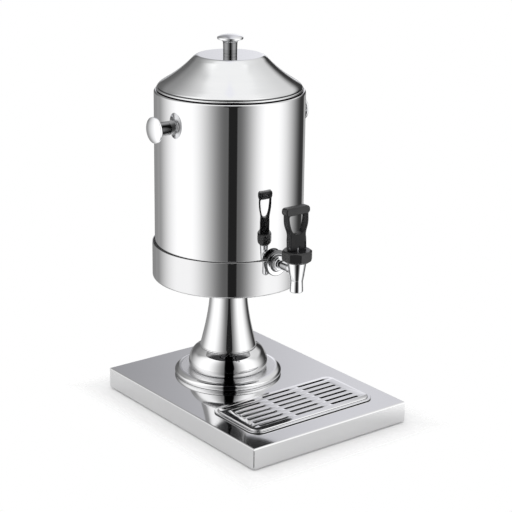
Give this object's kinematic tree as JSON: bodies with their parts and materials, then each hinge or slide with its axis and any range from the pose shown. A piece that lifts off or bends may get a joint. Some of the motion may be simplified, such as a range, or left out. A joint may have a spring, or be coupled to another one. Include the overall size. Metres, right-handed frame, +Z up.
{
  "type": "milk urn",
  "caption": "Countertop milk urn: steel drum with lid and ice tube on a turned pedestal, lever tap over a drip tray set in a base plate.",
  "frame": {"origin": "on the table, under the middle of the base plate's outline", "axes": "+Z up; the tap faces -Y; +X is the right-hand side as seen from the front, facing +Y"},
  "size_m": [0.26, 0.34, 0.5131],
  "materials": {
    "polished_steel": "mirror-polished stainless steel",
    "satin_steel": "softly polished stainless steel",
    "bright_chrome": "chrome-plated brass, mirror bright",
    "plain_steel": "plain rolled steel and fasteners",
    "black_plastic": "moulded black plastic, satin",
    "black_rubber": "matt black rubber",
    "silicone": "translucent white silicone"
  },
  "bodies": {
    "urn": {"base_plate": "polished_steel", "plate_stiffener": "plain_steel", "rubber_feet": "black_rubber", "pedestal_foot": "polished_steel", "pedestal_bulb": "polished_steel", "pedestal_column": "polished_steel", "tie_rod": "plain_steel", "rod_washers": "plain_steel", "rod_nuts": "plain_steel", "base_cup": "polished_steel", "cup_seal": "black_rubber", "outer_shell": "polished_steel", "inner_vessel": "satin_steel", "left_knob": "bright_chrome", "right_knob": "bright_chrome", "knob_screws": "plain_steel", "tap_body": "bright_chrome", "escutcheon": "bright_chrome", "tap_spacer": "black_rubber", "tap_washer": "black_rubber", "shank_nut": "plain_steel", "bonnet": "black_plastic", "bonnet_seal": "silicone"},
    "lid_body": {"lid": "satin_steel", "lid_skirt": "satin_steel", "lid_gasket": "silicone", "lid_knob": "bright_chrome", "lid_screw": "plain_steel", "ice_socket": "satin_steel", "ice_tube": "satin_steel"},
    "tray": {"drip_tray": "satin_steel", "tray_gasket": "black_rubber"},
    "grid": {"drip_grid": "polished_steel"},
    "stem": {"valve_stem": "plain_steel", "seat_plug": "silicone", "return_spring": "plain_steel"},
    "lever": {"tap_lever": "black_plastic", "pivot_pin": "plain_steel"}
  },
  "joints": [
    {"name": "lid_lift", "type": "slide", "parent": "urn", "child": "lid_body", "axis": [0, 0, 1], "range_m": [0, 0.25]},
    {"name": "tray_lift", "type": "slide", "parent": "urn", "child": "tray", "axis": [0, 0, 1], "range_m": [0, 0.09]},
    {"name": "grid_lift", "type": "slide", "parent": "tray", "child": "grid", "axis": [0, 0, 1], "range_m": [0, 0.04]},
    {"name": "stem_lift", "type": "slide", "parent": "urn", "child": "stem", "axis": [0, 0, 1], "range_m": [0, 0.0017], "deforming": ["return_spring"]},
    {"name": "lever_tilt", "type": "hinge", "parent": "stem", "child": "lever", "pos_m": [0, -0.089, 0.255], "axis": [1, 0, 0], "range_deg": [0, 40], "stiffness_Nm_per_rad": 0.3, "springref_deg": -17.19}
  ],
  "couplings": [
    {"joint": "stem_lift", "follows": "lever_tilt", "m_per_rad": 0.0024}
  ]
}
